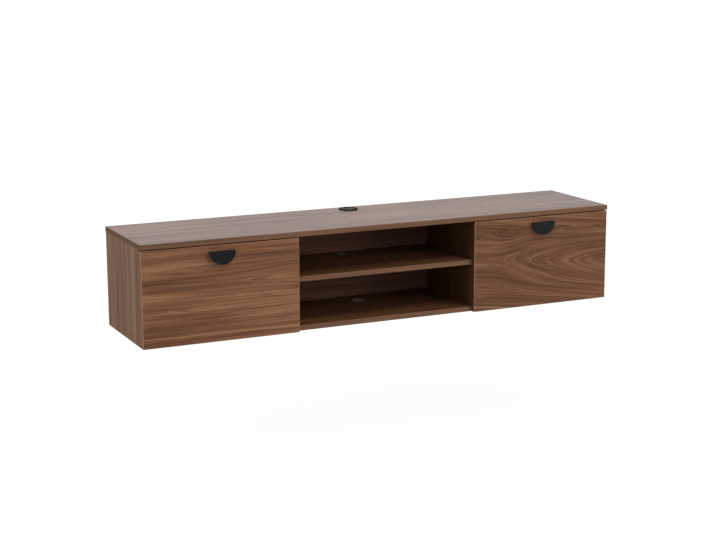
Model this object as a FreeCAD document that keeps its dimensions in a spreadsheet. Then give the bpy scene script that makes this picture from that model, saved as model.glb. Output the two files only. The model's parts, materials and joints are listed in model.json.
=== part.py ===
"""Floating media console: a wall-hung cabinet with two drop-down doors and an open bay.

Frame: millimetres, +X to the right, the front faces -Y, +Z up. The origin is on the wall plane,
at the middle of the width and level with the underside.
"""
import FreeCAD, Part
import math
import os

import Sketcher

# Driving dimensions in millimetres.
SIZES = {
    # Cabinet
    "total_width": 1800.0,
    "total_depth": 390.0,
    "total_height": 350.0,
    "board": 18.0,
    "end_overhang": 1.5,
    "bay_width": 680.0,
    "shelf_height": 190.0,
    "shelf_end_gap": 0.3,
    "back_thickness": 5.0,
    "groove_depth": 5.5,
    "groove_play": 0.2,
    "upper_rail_height": 80.0,
    "lower_rail_height": 60.0,
    # Doors
    "door_thickness": 18.0,
    "door_front_gap": 2.0,
    "door_top_gap": 3.0,
    # Cable openings
    "cable_hole_radius": 25.0,
    "shelf_hole_offset": -30.0,
    "shelf_hole_depth": 78.0,
    "bottom_hole_offset": 19.0,
    "bottom_hole_depth": 100.0,
    "grommet_bore_radius": 30.0,
    "grommet_depth": 52.0,
    "grommet_play": 0.3,
    "grommet_flange_radius": 35.0,
    "grommet_flange_height": 3.5,
    "grommet_wall": 2.4,
    "grommet_ledge": 2.0,
    "grommet_sleeve_length": 16.0,
    "cap_thickness": 2.4,
    "cap_recess": 1.0,
    "cap_slot_width": 18.0,
    "cap_slot_inner": 10.0,
    # Wall fixing
    "wall_fixing_spacing": 1200.0,
    "wall_fixing_radius": 4.0,
    # Cam fittings and dowels
    "front_fitting_inset": 50.0,
    "rear_fitting_depth": 80.0,
    "cam_distance": 34.0,
    "cam_bore_radius": 7.5,
    "cam_bore_depth": 12.5,
    "cam_play": 0.1,
    "bolt_bore_radius": 4.0,
    "bolt_shaft_radius": 3.0,
    "bolt_head_radius": 3.5,
    "bolt_head_length": 4.4,
    "bolt_collar_length": 2.5,
    "bolt_thread_radius": 2.5,
    "bolt_thread_length": 11.0,
    "cam_drive_radius": 2.5,
    "dowel_radius": 4.0,
    "dowel_long_end": 20.0,
    "dowel_short_end": 10.0,
    "dowel_end_play": 0.5,
    "front_dowel_inset": 20.0,
    "middle_dowel_depth": 200.0,
    # Shelf pins
    "pin_peg_radius": 2.5,
    "pin_peg_length": 9.0,
    "pin_seat_radius": 4.0,
    "pin_seat_length": 8.0,
    # Screws
    "screw_head_radius": 3.5,
    "screw_head_height": 1.8,
    "screw_radius": 1.8,
    "screw_length": 13.0,
    "screw_recess": 1.0,
    "rail_screw_offset": 450.0,
    # Hinges
    "hinge_height": 6.0,
    "hinge_end_inset": 90.0,
    "hinge_width": 40.0,
    "hinge_screw_offset": 12.0,
    "hinge_pin_radius": 2.0,
    "hinge_pin_overhang": 1.0,
    "hinge_running_play": 0.05,
    "knuckle_radius": 3.5,
    "knuckle_width": 14.0,
    "knuckle_gap": 0.3,
    "leaf_knuckle_reach": 16.0,
    "leaf_thickness": 1.5,
    "leaf_height": 46.0,
    "leaf_screw_rise": 30.0,
    "leaf_web_gap": 0.3,
    "base_thickness": 2.0,
    "base_depth": 36.0,
    "base_screw_depth": 22.0,
    "base_arm_thickness": 3.0,
    "notch_height": 22.0,
    "notch_side_gap": 1.0,
    "door_skin": 2.0,
    # Door stays; angles in degrees
    "door_travel_angle": 90.0,
    "stay_pin_angle": 7.6,
    "stay_stud_angle": 34.9,
    "stay_back_gap": 33.0,
    "stay_standoff": 6.0,
    "arm_thickness": 2.0,
    "arm_half_width": 7.0,
    "arm_end_margin": 8.0,
    "slot_end_play": 0.4,
    "stud_radius": 4.0,
    "slot_play": 0.2,
    "stud_head_radius": 7.0,
    "stud_head_height": 2.0,
    "arm_side_gap": 0.4,
    "plate_thickness": 2.0,
    "plate_half_depth": 12.0,
    "plate_half_height": 22.0,
    "plate_screw_offset": 15.0,
    "bracket_width": 20.0,
    "bracket_half_height": 16.0,
    "bracket_screw_reach": 12.4,
    "bracket_screw_offset": 9.6,
    "rivet_radius": 3.0,
    "rivet_running_play": 0.05,
    "rivet_head_radius": 5.0,
    "rivet_head_height": 1.0,
    "ear_half_height": 6.5,
    # Catches and bumpers
    "catch_half_width": 23.0,
    "catch_depth": 24.0,
    "catch_height": 14.0,
    "catch_gap": 0.3,
    "catch_screw_offset": 18.0,
    "magnet_half_width": 13.0,
    "magnet_depth": 18.0,
    "magnet_height": 8.0,
    "strike_half_width": 12.0,
    "strike_thickness": 1.5,
    "strike_height": 28.0,
    "strike_drop": 1.0,
    "strike_screw_rise": 7.0,
    "bumper_radius": 4.0,
    "bumper_gap": 0.3,
    "bumper_drop": 14.0,
    # Handles
    "handle_radius": 45.0,
    "handle_reach": 17.0,
    "handle_wall": 4.0,
    "handle_drop": 20.0,
    "handle_edge_bevel": 1.2,
    "handle_post_radius": 5.0,
    "handle_post_offset": 28.0,
    "handle_post_overlap": 1.0,
    "handle_screw_radius": 2.0,
    "handle_screw_grip": 9.0,
    "handle_screw_head_radius": 4.0,
    "handle_screw_head_height": 2.2,
    "handle_screw_play": 0.3,
}

doc = FreeCAD.newDocument("floating_media_console")
sheet = doc.addObject("Spreadsheet::Sheet", "Sizes")
for row, (alias, number) in enumerate(SIZES.items(), start=1):
    sheet.set(f"A{row}", alias)
    sheet.set(f"B{row}", str(number))
    sheet.setAlias(f"B{row}", alias)
doc.recompute()


class Size:
    """A length worked out from the sheet: its value now, and the expression that keeps it so."""

    def __init__(self, value, text):
        self.value = value
        self.text = text

    @staticmethod
    def of(item):
        if isinstance(item, Size):
            return item
        return Size(float(item), f"({float(item)})")

    def _with(self, other, sign, value):
        return Size(value, f"({self.text} {sign} {Size.of(other).text})")

    def __add__(self, other):
        return self._with(other, "+", self.value + Size.of(other).value)

    def __sub__(self, other):
        return self._with(other, "-", self.value - Size.of(other).value)

    def __mul__(self, other):
        return self._with(other, "*", self.value * Size.of(other).value)

    def __truediv__(self, other):
        return self._with(other, "/", self.value / Size.of(other).value)

    def __radd__(self, other):
        return Size.of(other) + self

    def __rsub__(self, other):
        return Size.of(other) - self

    def __rmul__(self, other):
        return Size.of(other) * self

    def __neg__(self):
        return Size.of(0) - self

    def sine(self):
        """The sine of an angle in degrees."""
        return Size(math.sin(math.radians(self.value)), f"sin({self.text})")

    def cosine(self):
        """The cosine of an angle in degrees."""
        return Size(math.cos(math.radians(self.value)), f"cos({self.text})")


def size(alias):
    return Size(SIZES[alias], f"Sizes.{alias}")


def lowest(first, second):
    """The smaller of two sizes."""
    first, second = Size.of(first), Size.of(second)
    return Size(min(first.value, second.value), f"min({first.text}; {second.text})")


X_AXIS = FreeCAD.Vector(1, 0, 0)
Y_AXIS = FreeCAD.Vector(0, 1, 0)
Z_AXIS = FreeCAD.Vector(0, 0, 1)


def bind(item, **sizes):
    for name, value in sizes.items():
        item.setExpression(name, Size.of(value).text)


def place(item, point):
    for axis, value in zip("xyz", point):
        item.setExpression(f"Placement.Base.{axis}", Size.of(value).text)


def along(point, direction, distance):
    """The point that lies a distance from another, in the direction of an axis."""
    parts = (direction.x, direction.y, direction.z)
    return tuple(value if part == 0 else value + part * distance for value, part in zip(point, parts))


def box(name, low, high):
    """A box between two opposite corners."""
    item = doc.addObject("Part::Box", name)
    bind(item, Length=high[0] - low[0], Width=high[1] - low[1], Height=high[2] - low[2])
    place(item, low)
    return item


def sided(side, near, far):
    """Two X places in rising order, mirrored to the left where side is -1."""
    return (near, far) if side > 0 else (-far, -near)


def cylinder(name, base, direction, radius, length):
    item = doc.addObject("Part::Cylinder", name)
    bind(item, Radius=radius, Height=length)
    item.Placement.Rotation = FreeCAD.Rotation(Z_AXIS, direction)
    place(item, base)
    return item


def fuse(name, members):
    item = doc.addObject("Part::MultiFuse", name)
    item.Shapes = members
    return item


def cut(name, base, tools):
    item = doc.addObject("Part::Cut", name)
    item.Base = base
    item.Tool = tools[0] if len(tools) == 1 else fuse(f"{name}_tools", tools)
    return item


nodes = {}


def node(label, item):
    """Names an object as one of the console's sub-parts."""
    item.Label = label
    nodes[label] = item
    return item


def group(label, members):
    """One sub-part that holds several like solids."""
    item = doc.addObject("Part::Compound", f"{label}_group")
    item.Links = members
    return node(label, item)


# Planes and lines that the pieces share.
board = size("board")
total_depth = size("total_depth")
half_width = size("total_width") / 2
side_outer = half_width - size("end_overhang")
side_inner = side_outer - board
under_top = size("total_height") - board
door_thickness = size("door_thickness")
door_front = -total_depth
door_inner = door_front + door_thickness
carcass_front = door_inner + size("door_front_gap")
bay_half = size("bay_width") / 2
divider_outer = bay_half + board
door_top = under_top - size("door_top_gap")
door_centre = (side_outer + bay_half) / 2
back_rear = -board
back_front = back_rear - size("back_thickness")
zero = Size.of(0)

# Every board starts as a plain box; the bores that its fittings need are gathered beside it.
boards = {}
bores = {}


def add_board(label, low, high):
    boards[label] = box(f"{label}_board", low, high)
    bores[label] = []


def finish_boards():
    for label, blank in boards.items():
        tools = bores[label]
        node(label, cut(f"{label}_bored", blank, tools) if tools else blank)


def make_carcass():
    add_board("top_panel", (-half_width, door_front, under_top),
              (half_width, zero, size("total_height")))
    add_board("bottom_panel", (-side_inner, carcass_front, zero), (side_inner, zero, board))
    for side, name in ((-1, "left"), (1, "right")):
        low, high = sided(side, side_inner, side_outer)
        add_board(f"{name}_side_panel", (low, carcass_front, zero), (high, zero, under_top))
        low, high = sided(side, bay_half, divider_outer)
        add_board(f"{name}_divider", (low, carcass_front, board), (high, back_front, under_top))
        low, high = sided(side, bay_half, side_outer)
        add_board(f"{name}_flap_door", (low, door_front, zero), (high, door_inner, door_top))
    shelf_half = bay_half - size("shelf_end_gap")
    shelf_top = size("shelf_height")
    add_board("bay_shelf", (-shelf_half, carcass_front, shelf_top - board),
              (shelf_half, back_front, shelf_top))
    add_board("upper_hanging_rail", (-side_inner, -board, under_top - size("upper_rail_height")),
              (side_inner, zero, under_top))
    add_board("lower_hanging_rail", (-side_inner, -board, board),
              (side_inner, zero, board + size("lower_rail_height")))


def make_back_panel():
    """A thin panel that slides in grooves in the sides and the bottom."""
    depth = size("groove_depth")
    play = size("groove_play")
    back_half = side_inner + depth - play
    add_board("back_panel", (-back_half, back_front, board - depth + play),
              (back_half, back_rear, under_top - play))
    front, rear = back_front - play, back_rear + play
    bores["bottom_panel"].append(
        box("bottom_groove", (-side_inner, front, board - depth), (side_inner, rear, board)))
    for side, name in ((-1, "left"), (1, "right")):
        low, high = sided(side, side_inner, side_inner + depth)
        groove = box(f"{name}_groove", (low, front, board - depth), (high, rear, under_top))
        bores[f"{name}_side_panel"].append(groove)


def make_cable_holes():
    holes = (
        ("top_panel", zero, size("grommet_depth"), under_top, size("grommet_bore_radius")),
        ("bay_shelf", size("shelf_hole_offset"), size("shelf_hole_depth"),
         size("shelf_height") - board, size("cable_hole_radius")),
        ("bottom_panel", size("bottom_hole_offset"), size("bottom_hole_depth"), zero,
         size("cable_hole_radius")),
    )
    for label, offset, depth, underside, radius in holes:
        hole = cylinder(f"{label}_cable_hole", (offset, -depth, underside), Z_AXIS, radius, board)
        bores[label].append(hole)


def make_wall_fixing_holes():
    """Four holes through the rails and the back panel, for screws into the wall."""
    rails = (
        ("upper_hanging_rail", under_top - size("upper_rail_height") / 2),
        ("lower_hanging_rail", board + size("lower_rail_height") / 2),
    )
    for rail, height in rails:
        for side in (-1, 1):
            place_x = side * size("wall_fixing_spacing") / 2
            point = (place_x, back_front, height)
            name = f"{rail}_wall_hole_{'left' if side < 0 else 'right'}"
            length = -back_front
            bores[rail].append(cylinder(name, point, Y_AXIS, size("wall_fixing_radius"), length))
            bores["back_panel"].append(
                cylinder(f"{name}_back", point, Y_AXIS, size("wall_fixing_radius"), length))


# Cam locks, cam bolts and dowels at every corner of the carcass.
cams = []
bolts = []
dowels = []
dowel_names = []


def cam_joint(name, host, mate, point, into_host, into_cam):
    """A bolt in the mate's face runs down the host's edge to a cam in the host's face.

    point is on the joint, halfway through the host; into_cam points from the face in which the
    cam lies to the other face.
    """
    reach = size("cam_distance")
    cam_radius = size("cam_bore_radius") - size("cam_play")
    cam_depth = size("cam_bore_depth")
    centre = along(point, into_host, reach)
    face = along(centre, into_cam, -board / 2)
    head_length = size("bolt_head_length")
    cavity = cylinder(f"{name}_cavity", along(centre, into_host, -2 * cam_radius), into_host,
                      size("bolt_head_radius") + size("cam_play"), 2 * cam_radius + head_length)
    drive = cylinder(f"{name}_drive", face, into_cam, size("cam_drive_radius"),
                     size("screw_recess"))
    body = cylinder(f"{name}_body", face, into_cam, cam_radius, cam_depth - size("cam_play"))
    cams.append(cut(f"{name}_cam", body, [cavity, drive]))

    thread_start = along(point, into_host, -size("bolt_thread_length"))
    thread = cylinder(f"{name}_thread", thread_start, into_host, size("bolt_thread_radius"),
                      size("bolt_thread_length"))
    shaft = cylinder(f"{name}_shaft", point, into_host, size("bolt_shaft_radius"), reach)
    collar = cylinder(f"{name}_collar", point, into_host, size("bolt_bore_radius"),
                      size("bolt_collar_length"))
    head = cylinder(f"{name}_head", along(centre, into_host, -head_length / 2), into_host,
                    size("bolt_head_radius"), head_length)
    bolts.append(fuse(f"{name}_bolt", [thread, shaft, collar, head]))

    bores[mate].append(cylinder(f"{name}_mate_bore", thread_start, into_host,
                                size("bolt_thread_radius"), size("bolt_thread_length")))
    bores[host].append(cylinder(f"{name}_edge_bore", point, into_host, size("bolt_bore_radius"),
                                reach))
    bores[host].append(cylinder(f"{name}_cam_bore", face, into_cam, size("cam_bore_radius"),
                                cam_depth))


def dowel_joint(name, host, mate, point, into_host):
    """A dowel across a joint, deeper in the host's edge than in the mate's face."""
    short, long, play = size("dowel_short_end"), size("dowel_long_end"), size("dowel_end_play")
    radius = size("dowel_radius")
    start = along(point, into_host, -short)
    dowels.append(cylinder(f"{name}_dowel", start, into_host, radius, short + long))
    bores[mate].append(cylinder(f"{name}_dowel_mate", along(start, into_host, -play), into_host,
                                radius, short + play))
    bores[host].append(cylinder(f"{name}_dowel_host", point, into_host, radius, long + play))


def make_carcass_fittings():
    bolt_places = (("front", carcass_front + size("front_fitting_inset")),
                   ("rear", -size("rear_fitting_depth")))
    dowel_places = (("front", carcass_front + size("front_dowel_inset")),
                    ("middle", -size("middle_dowel_depth")))
    for side, name in ((-1, "left"), (1, "right")):
        outward = side * X_AXIS
        side_middle = side * (side_inner + board / 2)
        divider_middle = side * (bay_half + board / 2)
        panel, divider = f"{name}_side_panel", f"{name}_divider"
        joints = (
            (f"{panel}_top", panel, "top_panel", side_middle, under_top, -Z_AXIS, outward),
            (f"{panel}_bottom", "bottom_panel", panel, side * side_inner, board / 2, -outward,
             Z_AXIS),
            (f"{divider}_top", divider, "top_panel", divider_middle, under_top, -Z_AXIS, -outward),
            (f"{divider}_bottom", divider, "bottom_panel", divider_middle, board, Z_AXIS, -outward),
        )
        for joint, host, mate, place_x, height, into_host, into_cam in joints:
            for where, place_y in bolt_places:
                cam_joint(f"{joint}_{where}", host, mate, (place_x, place_y, height), into_host,
                          into_cam)
            for where, place_y in dowel_places:
                dowel_joint(f"{joint}_{where}", host, mate, (place_x, place_y, height), into_host)
        rails = (("upper_hanging_rail", under_top - size("upper_rail_height") / 2),
                 ("lower_hanging_rail", board + size("lower_rail_height") / 2))
        for rail, height in rails:
            bolt_point = (side * side_inner, -board / 2, height)
            cam_joint(f"{rail}_{name}", rail, panel, bolt_point, -outward, -Y_AXIS)
            dowel_point = (side * side_inner, -board / 2, height + size("front_dowel_inset"))
            dowel_joint(f"{rail}_{name}", rail, panel, dowel_point, -outward)
    group("cam_locks", cams)
    group("cam_bolts", bolts)
    group("wood_dowels", dowels)


def screw(name, seat, direction, length, through=()):
    """A pan-head screw that seats at a point and goes into boards or plates along a direction.

    through lists the bore lists of the pieces that it passes.
    """
    head_height = size("screw_head_height")
    head_start = along(seat, direction, -head_height)
    head = cylinder(f"{name}_head", head_start, direction, size("screw_head_radius"), head_height)
    shank = cylinder(f"{name}_shank", seat, direction, size("screw_radius"), length)
    recess = doc.addObject("Part::Prism", f"{name}_recess")
    bind(recess, Circumradius=size("screw_radius"), Height=size("screw_recess"))
    recess.Polygon = 6
    recess.Placement.Rotation = FreeCAD.Rotation(Z_AXIS, direction)
    place(recess, head_start)
    for index, tools in enumerate(through):
        tools.append(cylinder(f"{name}_bore_{index}", seat, direction, size("screw_radius"), length))
    return cut(f"{name}_screw", fuse(f"{name}_blank", [head, shank]), [recess])


def make_back_panel_screws():
    """Screws from behind into the dividers, and from inside the doors into the rails."""
    screws = []
    length = size("back_thickness") + size("screw_length")
    lower_end = board + size("lower_rail_height")
    upper_end = under_top - size("upper_rail_height")
    for side, name in ((-1, "left"), (1, "right")):
        for index in (1, 2, 3):
            height = lower_end + (upper_end - lower_end) * index / 4
            seat = (side * (bay_half + board / 2), back_rear, height)
            screws.append(screw(f"{name}_back_{index}", seat, -Y_AXIS, length,
                                [bores["back_panel"], bores[f"{name}_divider"]]))
        rails = (("upper_hanging_rail", under_top - size("upper_rail_height") / 2),
                 ("lower_hanging_rail", board + size("lower_rail_height") / 2))
        for rail, height in rails:
            seat = (side * size("rail_screw_offset"), back_front, height)
            screws.append(screw(f"{name}_{rail}", seat, Y_AXIS, length,
                                [bores["back_panel"], bores[rail]]))
    group("back_panel_screws", screws)


def make_shelf_pins():
    pins = []
    seat_radius = size("pin_seat_radius")
    height = size("shelf_height") - board - seat_radius
    for side, name in ((-1, "left"), (1, "right")):
        inward = -side * X_AXIS
        for where, place_y in (("front", carcass_front + size("front_fitting_inset")),
                               ("rear", -size("rear_fitting_depth"))):
            point = (side * bay_half, place_y, height)
            start = along(point, inward, -size("pin_peg_length"))
            peg = cylinder(f"{name}_{where}_peg", start, inward, size("pin_peg_radius"),
                           size("pin_peg_length") + size("pin_seat_length"))
            seat = cylinder(f"{name}_{where}_seat", point, inward, seat_radius,
                            size("pin_seat_length"))
            pins.append(fuse(f"{name}_{where}_pin", [peg, seat]))
            bores[f"{name}_divider"].append(
                cylinder(f"{name}_{where}_peg_bore", start, inward, size("pin_peg_radius"),
                         size("pin_peg_length")))
    group("shelf_pins", pins)


# Sketching helpers for the pieces that are PartDesign bodies.
def new_body(name):
    return doc.addObject("PartDesign::Body", name)


def new_sketch(body, name, plane):
    sketch = body.newObject("Sketcher::SketchObject", name)
    origin_plane = [item for item in body.Origin.OriginFeatures if item.Role == plane][0]
    sketch.AttachmentSupport = [(origin_plane, "")]
    sketch.MapMode = "FlatFace"
    return sketch


def hold(sketch, geometry, end, point):
    """Ties one point of a sketch's geometry to the sketch's origin by two sizes."""
    for kind, value in zip(("DistanceX", "DistanceY"), point):
        value = Size.of(value)
        index = sketch.addConstraint(Sketcher.Constraint(kind, -1, 1, geometry, end, value.value))
        sketch.setExpression(f"Constraints[{index}]", value.text)


def flat(point):
    return FreeCAD.Vector(Size.of(point[0]).value, Size.of(point[1]).value, 0)


def draw_polygon(sketch, points):
    first = sketch.GeometryCount
    for start, end in zip(points, points[1:] + points[:1]):
        sketch.addGeometry(Part.LineSegment(flat(start), flat(end)))
    for index in range(len(points)):
        following = first + (index + 1) % len(points)
        sketch.addConstraint(Sketcher.Constraint("Coincident", first + index, 2, following, 1))
        hold(sketch, first + index, 1, points[index])


def draw_circle(sketch, centre, radius):
    radius = Size.of(radius)
    index = sketch.addGeometry(Part.Circle(flat(centre), Z_AXIS, radius.value))
    hold(sketch, index, 3, centre)
    constraint = sketch.addConstraint(Sketcher.Constraint("Radius", index, radius.value))
    sketch.setExpression(f"Constraints[{constraint}]", radius.text)


def draw_slot(sketch, start, end, radius):
    """A round-ended slot along the sketch's first axis."""
    start, end, radius = Size.of(start), Size.of(end), Size.of(radius)
    near = sketch.addGeometry(Part.ArcOfCircle(
        Part.Circle(flat((start, 0)), Z_AXIS, radius.value), math.pi / 2, 3 * math.pi / 2))
    far = sketch.addGeometry(Part.ArcOfCircle(
        Part.Circle(flat((end, 0)), Z_AXIS, radius.value), -math.pi / 2, math.pi / 2))
    lower = sketch.addGeometry(Part.LineSegment(flat((start, -radius)), flat((end, -radius))))
    upper = sketch.addGeometry(Part.LineSegment(flat((end, radius)), flat((start, radius))))
    for first, first_end, second, second_end in (
            (near, 2, lower, 1), (lower, 2, far, 1), (far, 2, upper, 1), (upper, 2, near, 1)):
        sketch.addConstraint(Sketcher.Constraint("Tangent", first, first_end, second, second_end))
    hold(sketch, near, 3, (start, 0))
    constraint = sketch.addConstraint(
        Sketcher.Constraint("DistanceX", -1, 1, far, 3, end.value))
    sketch.setExpression(f"Constraints[{constraint}]", end.text)
    constraint = sketch.addConstraint(Sketcher.Constraint("Radius", near, radius.value))
    sketch.setExpression(f"Constraints[{constraint}]", radius.text)


def pad(body, sketch, length, both_ways=False):
    feature = body.newObject("PartDesign::Pad", f"{sketch.Name}_pad")
    feature.Profile = sketch
    bind(feature, Length=length)
    if both_ways:
        feature.SideType = "Symmetric"
    sketch.Visibility = False
    return feature


def pocket(body, sketch, length):
    """A pocket that runs against the sketch's normal, into a body that lies on that side."""
    feature = body.newObject("PartDesign::Pocket", f"{sketch.Name}_pocket")
    feature.Profile = sketch
    bind(feature, Length=length)
    feature.Reversed = True
    sketch.Visibility = False
    return feature


def cut_through(body, sketch):
    """A cut along the sketch's normal that passes right through the body, both ways."""
    feature = body.newObject("PartDesign::Pocket", f"{sketch.Name}_cut")
    feature.Profile = sketch
    feature.Type = "ThroughAll"
    feature.SideType = "Symmetric"
    sketch.Visibility = False
    return feature


def revolve(body, sketch):
    """Turns a profile in the body's XZ plane right round the body's Z axis."""
    feature = body.newObject("PartDesign::Revolution", f"{sketch.Name}_turned")
    feature.Profile = sketch
    feature.ReferenceAxis = (sketch, ["V_Axis"])
    feature.Angle = 360
    return feature


def make_grommet():
    """A sleeve in the top panel, and a cap that turns on the sleeve's inner ledge."""
    grommet_x, grommet_y = zero, -size("grommet_depth")
    outer = size("grommet_bore_radius") - size("grommet_play")
    inner = outer - size("grommet_wall")
    flange = size("grommet_flange_radius")
    crown = size("grommet_flange_height")
    cap_top = crown - size("cap_recess")
    cap_bottom = cap_top - size("cap_thickness")
    ledge_top = cap_bottom - size("grommet_play")
    ledge_inner = inner - size("grommet_ledge")
    length = size("grommet_sleeve_length")

    liner = new_body("grommet_liner_body")
    sketch = new_sketch(liner, "grommet_liner_profile", "XZ_Plane")
    draw_polygon(sketch, [
        (inner, crown), (inner, ledge_top), (ledge_inner, ledge_top),
        (ledge_inner, ledge_top - size("grommet_wall")), (inner, ledge_top - 2 * size("grommet_wall")),
        (inner, -length), (outer, -length), (outer, zero), (flange, zero),
        (flange, crown / 2), (flange - crown / 2, crown)])
    revolve(liner, sketch)
    place(liner, (grommet_x, grommet_y, size("total_height")))
    node("grommet_liner", liner)

    cap_radius = inner - size("grommet_play")
    cap = new_body("grommet_cap_body")
    sketch = new_sketch(cap, "grommet_cap_profile", "XZ_Plane")
    draw_polygon(sketch, [
        (zero, cap_bottom), (cap_radius, cap_bottom), (cap_radius, cap_top - size("cap_recess") / 2),
        (cap_radius - size("cap_recess") / 2, cap_top), (zero, cap_top)])
    revolve(cap, sketch)
    slot = new_sketch(cap, "grommet_cap_slot", "XY_Plane")
    slot_half = size("cap_slot_width") / 2
    draw_polygon(slot, [
        (-slot_half, size("cap_slot_inner")), (slot_half, size("cap_slot_inner")),
        (slot_half, cap_radius + size("grommet_wall")),
        (-slot_half, cap_radius + size("grommet_wall"))])
    cut_through(cap, slot)
    place(cap, (grommet_x, grommet_y, size("total_height")))
    node("grommet_cap", cap)


# Hinge axis: its height gives its depth, so that the open door's inner face meets the floor
# of the cabinet.
hinge_z = size("hinge_height")
hinge_to_inner = board - hinge_z
hinge_y = door_inner - hinge_to_inner
hinge_to_carcass = hinge_to_inner + size("door_front_gap")


def make_hinges(side, name, door_screws, fixed_screws):
    """Two knuckle hinges whose barrels lie in notches in the door's lower edge."""
    base_thickness = size("base_thickness")
    leaf = size("leaf_thickness")
    web_low = hinge_to_inner + base_thickness + size("leaf_web_gap")
    knuckle = size("knuckle_radius")
    half_knuckle = size("knuckle_width") / 2
    half_hinge = size("hinge_width") / 2
    arm_half = size("base_arm_thickness") / 2 * math.sqrt(0.5)
    bases, leaves, pins = [], [], []
    span = (side_outer - bay_half) / 2 - size("hinge_end_inset")
    for index, step in enumerate((-1, 1), start=1):
        place_x = side * door_centre + step * span
        tag = f"{name}_hinge_{index}"
        axis_point = (place_x, hinge_y, hinge_z)

        notch_half = half_hinge + size("notch_side_gap")
        bores[f"{name}_flap_door"].append(
            box(f"{tag}_notch", (place_x - notch_half, door_front + size("door_skin"), zero),
                (place_x + notch_half, door_inner, size("notch_height"))))

        base = new_body(f"{tag}_base")
        plate = new_sketch(base, f"{tag}_base_plate", "YZ_Plane")
        draw_polygon(plate, [
            (hinge_to_carcass, hinge_to_inner),
            (hinge_to_carcass + size("base_depth"), hinge_to_inner),
            (hinge_to_carcass + size("base_depth"), hinge_to_inner + base_thickness),
            (hinge_to_carcass, hinge_to_inner + base_thickness)])
        pad(base, plate, size("hinge_width"), both_ways=True)
        arm = new_sketch(base, f"{tag}_base_arm", "YZ_Plane")
        draw_polygon(arm, [
            (arm_half, -arm_half), (hinge_to_carcass, hinge_to_inner),
            (hinge_to_carcass + base_thickness, hinge_to_inner),
            (hinge_to_carcass + base_thickness, hinge_to_inner + base_thickness),
            (hinge_to_carcass - base_thickness, hinge_to_inner + base_thickness),
            (-arm_half, arm_half)])
        pad(base, arm, size("knuckle_width"), both_ways=True)
        barrel = new_sketch(base, f"{tag}_base_barrel", "YZ_Plane")
        draw_circle(barrel, (0, 0), knuckle)
        pad(base, barrel, size("knuckle_width"), both_ways=True)
        bore = new_sketch(base, f"{tag}_base_bore", "YZ_Plane")
        draw_circle(bore, (0, 0), size("hinge_pin_radius"))
        cut_through(base, bore)
        place(base, axis_point)

        moving = new_body(f"{tag}_leaf")
        plate = new_sketch(moving, f"{tag}_leaf_plate", "YZ_Plane")
        leaf_top = web_low + size("leaf_height")
        draw_polygon(plate, [
            (hinge_to_inner, web_low), (hinge_to_inner + leaf, web_low),
            (hinge_to_inner + leaf, leaf_top), (hinge_to_inner, leaf_top)])
        pad(moving, plate, size("hinge_width"), both_ways=True)
        web = new_sketch(moving, f"{tag}_leaf_web", "YZ_Plane")
        draw_polygon(web, [
            (-knuckle, 0), (leaf - knuckle, 0), (leaf - knuckle, web_low),
            (hinge_to_inner + leaf, web_low), (hinge_to_inner + leaf, web_low + leaf),
            (-knuckle, web_low + leaf)])
        pad(moving, web, 2 * size("leaf_knuckle_reach"), both_ways=True)
        barrel = new_sketch(moving, f"{tag}_leaf_barrel", "YZ_Plane")
        draw_circle(barrel, (0, 0), knuckle)
        pad(moving, barrel, 2 * size("leaf_knuckle_reach"), both_ways=True)
        gap_half = half_knuckle + size("knuckle_gap")
        gap = new_sketch(moving, f"{tag}_leaf_gap", "XZ_Plane")
        draw_polygon(gap, [
            (-gap_half, -2 * knuckle), (gap_half, -2 * knuckle), (gap_half, web_low + leaf),
            (-gap_half, web_low + leaf)])
        cut_through(moving, gap)
        bore = new_sketch(moving, f"{tag}_leaf_bore", "YZ_Plane")
        draw_circle(bore, (0, 0), size("hinge_pin_radius") + size("hinge_running_play"))
        cut_through(moving, bore)
        place(moving, axis_point)

        pin_half = size("leaf_knuckle_reach") + size("hinge_pin_overhang")
        pins.append(cylinder(f"{tag}_pin", (place_x - pin_half, hinge_y, hinge_z), X_AXIS,
                             size("hinge_pin_radius"), 2 * pin_half))

        base_holes, leaf_holes = [], []
        for offset, label in ((-1, "a"), (1, "b")):
            screw_x = place_x + offset * size("hinge_screw_offset")
            seat = (screw_x, carcass_front + size("base_screw_depth"), board + base_thickness)
            fixed_screws.append(screw(f"{tag}_base_{label}", seat, -Z_AXIS, size("screw_length"),
                                      [bores["bottom_panel"], base_holes]))
            seat = (screw_x, door_inner + leaf, hinge_z + web_low + size("leaf_screw_rise"))
            door_screws.append(screw(f"{tag}_leaf_{label}", seat, -Y_AXIS, size("screw_length"),
                                     [bores[f"{name}_flap_door"], leaf_holes]))
        bases.append(cut(f"{tag}_base_drilled", base, base_holes))
        leaves.append(cut(f"{tag}_leaf_drilled", moving, leaf_holes))
    group(f"{name}_hinge_bases", bases)
    group(f"{name}_hinge_leaves", leaves)
    group(f"{name}_hinge_pins", pins)


# The stay's door pin and its wall stud lie on one circle about the hinge axis, at angles from the
# upright, so the arm turns by half of the door's angle and its slot slides on the stud. The circle
# is as large as lets the closed arm, which slopes down from pin to stud, end clear of the back.
stay_slope = (size("stay_pin_angle") + size("stay_stud_angle")) / 2
half_closed = (size("stay_stud_angle") - size("stay_pin_angle")) / 2
half_open = half_closed + size("door_travel_angle") / 2
arm_end_depth = size("arm_end_margin") * stay_slope.cosine() + size("arm_half_width")
stay_radius = ((back_front - size("stay_back_gap") - hinge_y - arm_end_depth)
               / (size("stay_pin_angle").sine() + 2 * half_open.sine() * stay_slope.cosine()))
stay_pin_in = stay_radius * size("stay_pin_angle").sine()
stay_pin_up = stay_radius * size("stay_pin_angle").cosine()
stay_stud_in = stay_radius * size("stay_stud_angle").sine()
stay_stud_up = stay_radius * size("stay_stud_angle").cosine()
reach_closed = 2 * stay_radius * half_closed.sine()
reach_open = 2 * stay_radius * half_open.sine()


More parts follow.
